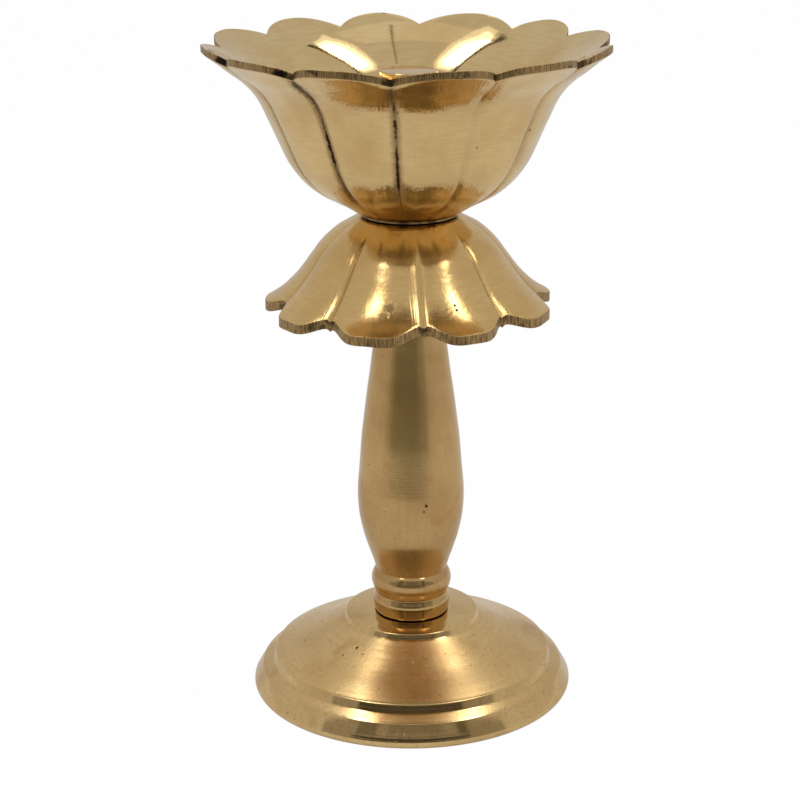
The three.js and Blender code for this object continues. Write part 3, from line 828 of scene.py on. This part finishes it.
def pressed_fibre():
    material, tree, shader = new_material("pressed_fibre")
    place = object_place(tree)
    fibres = grain(tree, place, 0.6, detail=5, stretch=(1, 1, 0.3))
    colour = ramp(tree, fibres, [(0.35, "#4A241A"), (0.6, "#6E3B26"), (0.75, "#855038")])
    tree.links.new(colour, shader.inputs["Base Color"])
    shader.inputs["Roughness"].default_value = 0.75
    bumped(tree, shader, [(fibres, 0.03)])
    return material


STUD_PITCH = 1.25
STUD_CORE = 3.23
STUD_CREST = 3.98
STUD_CHAMFER = 0.1
STUD_COLUMNS = 48
THREAD_SHAPE = [(0, STUD_CORE), (0.12, STUD_CORE), (0.5, STUD_CREST), (0.62, STUD_CREST)]


def threaded(name, low, high, material):
    """A stud with a helical thread, chamfered at both ends. Heights are in mm."""
    turns = math.ceil((high - low) / STUD_PITCH) + 1
    rows = turns * len(THREAD_SHAPE)
    end_radius = STUD_CORE - STUD_CHAMFER
    bm = bmesh.new()
    bmesh.ops.create_grid(bm, x_segments=STUD_COLUMNS, y_segments=rows - 1, size=1)
    grid = sorted(bm.verts, key=lambda vert: (round(vert.co.x, 6), vert.co.y))
    for number, vert in enumerate(grid):
        column, row = divmod(number, rows)
        lap, corner = divmod(row, len(THREAD_SHAPE))
        share, radius = THREAD_SHAPE[corner]
        round_share = column / STUD_COLUMNS
        height = low + (lap - 1 + share + round_share) * STUD_PITCH
        height = min(max(height, low), high)
        radius = min(radius, end_radius + height - low, end_radius + high - height)
        angle = math.tau * round_share
        vert.co = Vector((radius * math.cos(angle), radius * math.sin(angle), height)) * MM
    bmesh.ops.remove_doubles(bm, verts=bm.verts, dist=WELD)
    bmesh.ops.holes_fill(bm, edges=bm.edges, sides=0)
    return finished(name, bm, [material])


steel = plated_steel()
fibre = pressed_fibre()
stud_low, stud_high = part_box("tie_stud")
stud = threaded("threaded_stud", stud_low.z / MM, stud_high.z / MM, steel)
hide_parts("tie_stud")
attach(stud, "bowl_unit")
for node, finish in (("foot_screw", steel), ("foot_washer", steel), ("oil_seal", fibre)):
    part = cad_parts[node]
    for part_slot in part.material_slots:
        part_slot.material = finish
    print(node, "is", finish.name)

# %% [markdown]
# Studio: the oil lamp stands on a white table in a grey light tent. Two long lights run from front
# to back over its left and right side, with a pole between them, and the tent is open at the
# front, where a darker room with a shelf, posts and a bench shows. Brass mirrors all of that, so
# the tent matters more than the power of the lights. The camera sees only the white table.


# %% Studio
WHITE = (1, 1, 1, 1)
TABLE_HALF = 3.0
TABLE_WHITE_SEEN = 0.985
TABLE_WHITE_MIRRORED = 0.3
ABOVE_TABLE = 0.001
TENT_RADIUS = 1.9
FRONT = -0.52
SCREEN_STEP = 0.004
LAMP_UP = 0.75
LEFT_LAMP = [(-0.13, 0.38), (-0.19, 0.38), (-0.41, -0.42), (-0.19, -0.42)]
RIGHT_LAMP = [(0.17, 0.34), (0.27, 0.34), (0.46, -0.42), (0.25, -0.42)]
LAMP_LAYERS = (("glow", 1.0, 0, 1.1), ("shell", 0.88, 0.002, 2.2), ("core", 0.72, 0.004, 6.0))
LAMP_LEAN = 0.13
LAMP_CORNER = 0.15
RAIL_NEAR = 0.015
RAIL_FAR = 0.045
ROOF_PANEL_UP = 0.8
ROOF_POLE_UP = 0.76
SKY_LIGHT = 0.6


def staged(name, bm, material, seen=False):
    """A piece of the studio. What isn't seen still lights the lamp and shows in the brass."""
    piece = placed(name, bm, [material])
    piece.visible_camera = seen
    piece.visible_shadow = seen


def sheet(name, corners, material, seen=False):
    """A flat sheet of the studio."""
    bm = bmesh.new()
    bm.faces.new([bm.verts.new(corner) for corner in corners])
    staged(name, bm, material, seen)


def light_path(tree):
    return add_node(tree, "ShaderNodeLightPath").outputs


def white_table():
    """White for the camera. A mirror shows it too, but with more of the lamp's shadow on it."""
    material, tree = blank_material("white_table")
    rays = light_path(tree)
    straight = maths(tree, "MAXIMUM", rays["Is Camera Ray"], rays["Is Transmission Ray"])
    mirrored = maths(tree, "MULTIPLY", rays["Is Glossy Ray"], TABLE_WHITE_MIRRORED)
    share = maths(tree, "MAXIMUM", maths(tree, "MULTIPLY", straight, TABLE_WHITE_SEEN), mirrored)
    paint = add_node(tree, "ShaderNodeBsdfDiffuse", {"Color": linear("#CFCFCD")})
    glow = add_node(tree, "ShaderNodeEmission", {"Color": WHITE, "Strength": 1.0})
    mix = add_node(tree, "ShaderNodeMixShader", {0: share, 1: paint.outputs[0], 2: glow.outputs[0]})
    add_node(tree, "ShaderNodeOutputMaterial", {"Surface": mix.outputs[0]})
    return material


def screen_paint(name, hex_colour, strength=1.0):
    """A plain colour that gives its own light, so that brass shows it as it is written."""
    material, tree = blank_material(name)
    glow = add_node(tree, "ShaderNodeEmission", {"Color": linear(hex_colour), "Strength": strength})
    add_node(tree, "ShaderNodeOutputMaterial", {"Surface": glow.outputs[0]})
    return material


def level_sheet(name, outline, height, hex_colour, strength=1.0):
    """A level sheet that gives its own light, from the places of its corners."""
    sheet(name, [(*place, height) for place in outline], screen_paint(name, hex_colour, strength))


sheet("table",
      [(-TABLE_HALF, -TABLE_HALF, 0), (TABLE_HALF, -TABLE_HALF, 0), (TABLE_HALF, TABLE_HALF, 0),
       (-TABLE_HALF, TABLE_HALF, 0)], white_table(), seen=True)

tent = bmesh.new()
bmesh.ops.create_uvsphere(tent, u_segments=32, v_segments=16, radius=TENT_RADIUS)
staged("tent_cloth", tent, screen_paint("tent_cloth", "#C8C6C2"))

# Each screen's name, its left and right, its bottom and top, and its colour, from the back one.
FRONT_SCREENS = [
    ("front_room", (-1.1, 1.2), (0.1, 0.46), "#9C9994"),
    ("front_low", (-0.8, 0.5), (ABOVE_TABLE, 0.1), "#A9A79E"),
    ("front_bench", (-0.5, 0.22), (ABOVE_TABLE, 0.1), "#86887B"),
    ("front_shelf", (-0.45, 0.42), (0.11, 0.185), "#403E38"),
    ("front_post_left", (-0.42, -0.24), (0.21, 0.46), "#78756F"),
    ("front_post_right", (0.32, 0.42), (0.21, 0.46), "#66635E"),
    ("camera_side", (-0.16, 0.2), (0.21, 0.4), "#85827C"),
]
for number, (name, (left, right), (low, high), colour) in enumerate(FRONT_SCREENS):
    y = FRONT + number * SCREEN_STEP
    sheet(name, [(left, y, low), (right, y, low), (right, y, high), (left, y, high)],
          screen_paint(name, colour))
level_sheet("front_table", [(-0.62, FRONT), (0.36, FRONT), (0.27, -0.25), (-0.45, -0.25)],
            ABOVE_TABLE, "#888A7E")


def soft_lamp(name, corners, out):
    """A lamp under the tent's roof, bright in the middle, with a dark rail along its outer side."""
    middle = sum((Vector(corner) for corner in corners), Vector((0, 0))) / 4
    for part, share, drop, strength in LAMP_LAYERS:
        centre = middle + Vector((out * LAMP_LEAN * (1 - share), 0))
        spots = [centre + (Vector(corner) - middle) * share for corner in corners]
        outline = []
        for start, end in zip(spots, spots[1:] + spots[:1]):
            outline += [start.lerp(end, LAMP_CORNER), start.lerp(end, 1 - LAMP_CORNER)]
        level_sheet(f"{name}_{part}", outline, LAMP_UP - drop, "#FFFDF8", strength)
    (back_x, back_y), (front_x, front_y) = corners[1], corners[2]
    near, far = out * RAIL_NEAR, out * RAIL_FAR
    rail = [(back_x + near, back_y), (back_x + far, back_y), (front_x + far, front_y),
            (front_x + near, front_y)]
    level_sheet(f"{name}_rail", rail, LAMP_UP, "#3C3834")


level_sheet("roof_panel", [(-0.17, 0.07), (0.17, 0.07), (0.17, 0.33), (-0.17, 0.33)],
            ROOF_PANEL_UP, "#DAD8D4")
level_sheet("roof_pole", [(0.028, 0.29), (0.033, 0.29), (0.09, -0.35), (0.083, -0.35)],
            ROOF_POLE_UP, "#6A5138")
soft_lamp("lamp_left", LEFT_LAMP, -1)
soft_lamp("lamp_right", RIGHT_LAMP, 1)

world = bpy.data.worlds.new("white_background")
world.use_nodes = True
bpy.context.scene.world = world
sky_tree = world.node_tree
sky_tree.nodes.clear()
rays = light_path(sky_tree)
seen = maths(sky_tree, "MAXIMUM", rays["Is Camera Ray"], rays["Is Glossy Ray"])
seen = maths(sky_tree, "MAXIMUM", seen, rays["Is Transmission Ray"])
strength = maths(sky_tree, "MULTIPLY_ADD", seen, 1 - SKY_LIGHT, SKY_LIGHT)
sky = add_node(sky_tree, "ShaderNodeBackground", {"Color": WHITE, "Strength": strength})
add_node(sky_tree, "ShaderNodeOutputWorld", {"Surface": sky.outputs[0]})
bpy.context.scene.view_settings.view_transform = "Standard"
print("studio:", len(FRONT_SCREENS), "front screens and", 2 * len(LAMP_LAYERS), "lamp sheets")
